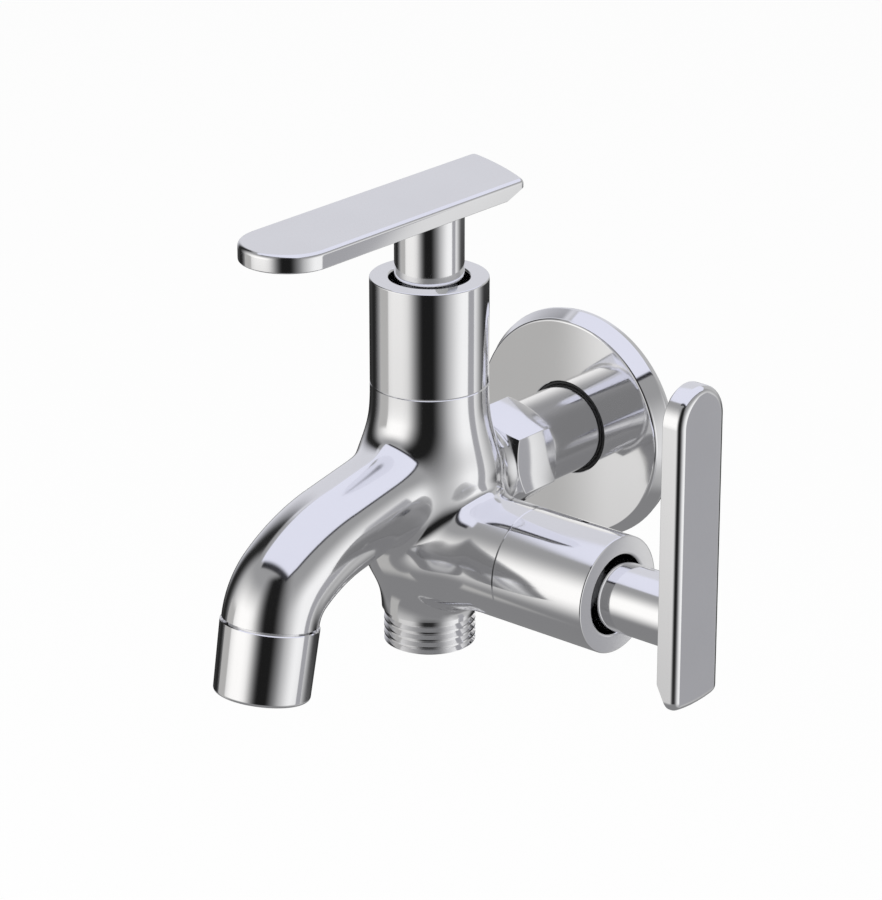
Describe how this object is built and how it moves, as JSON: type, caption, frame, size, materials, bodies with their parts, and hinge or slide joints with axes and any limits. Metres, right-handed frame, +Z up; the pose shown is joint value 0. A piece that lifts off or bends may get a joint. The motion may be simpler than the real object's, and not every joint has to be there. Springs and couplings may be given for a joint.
{
  "type": "two-way bib tap",
  "caption": "Chrome wall-mounted two-way bib tap with a curved aerated spout, a threaded hose outlet and a quarter-turn lever valve for each.",
  "frame": {"origin": "on the inlet axis, in the plane of the wall", "axes": "+Z up, +Y into the wall along the inlet, -Y the way the spout points, +X the side valve"},
  "size_m": [0.1046, 0.1375, 0.1077],
  "materials": {
    "chrome_body": "polished chrome plate",
    "chrome_flange": "polished chrome plate",
    "chrome_cap": "polished chrome plate",
    "chrome_sleeve": "polished chrome plate",
    "chrome_handle": "polished chrome plate",
    "raw_brass": "turned brass",
    "steel": "stainless",
    "black_rubber": "matt",
    "cage_plastic": "moulded, light grey",
    "slide_plastic": "white low-friction plastic",
    "ceramic": "lapped ceramic"
  },
  "bodies": {
    "tap": {"tap_body": "chrome_body", "wall_flange": "chrome_flange", "flange_seal": "black_rubber", "flange_grip_ring": "black_rubber", "aerator_shell": "chrome_cap", "aerator_washer": "black_rubber", "aerator_cage": "cage_plastic", "aerator_screen_1": "steel", "aerator_screen_2": "steel", "top_bonnet_sleeve": "chrome_sleeve", "top_cartridge_housing": "raw_brass", "top_housing_gasket": "black_rubber", "top_seat_seal": "black_rubber", "top_fixed_disc": "ceramic", "top_thrust_washer": "slide_plastic", "side_bonnet_sleeve": "chrome_sleeve", "side_cartridge_housing": "raw_brass", "side_housing_gasket": "black_rubber", "side_seat_seal": "black_rubber", "side_fixed_disc": "ceramic", "side_thrust_washer": "slide_plastic"},
    "top_valve": {"top_handle": "chrome_handle", "top_grub_screw": "steel", "top_spindle": "raw_brass", "top_spindle_clip": "steel", "top_spindle_o_rings": "black_rubber", "top_moving_disc": "ceramic"},
    "side_valve": {"side_handle": "chrome_handle", "side_grub_screw": "steel", "side_spindle": "raw_brass", "side_spindle_clip": "steel", "side_spindle_o_rings": "black_rubber", "side_moving_disc": "ceramic"}
  },
  "joints": [
    {"name": "top_handle_turn", "type": "hinge", "parent": "tap", "child": "top_valve", "pos_m": [0, -0.0554, 0.05], "axis": [0, 0, 1], "range_deg": [0, 90]},
    {"name": "side_handle_turn", "type": "hinge", "parent": "tap", "child": "side_valve", "pos_m": [0.055, -0.0554, -0.0112], "axis": [1, 0, 0], "range_deg": [0, 90]}
  ]
}
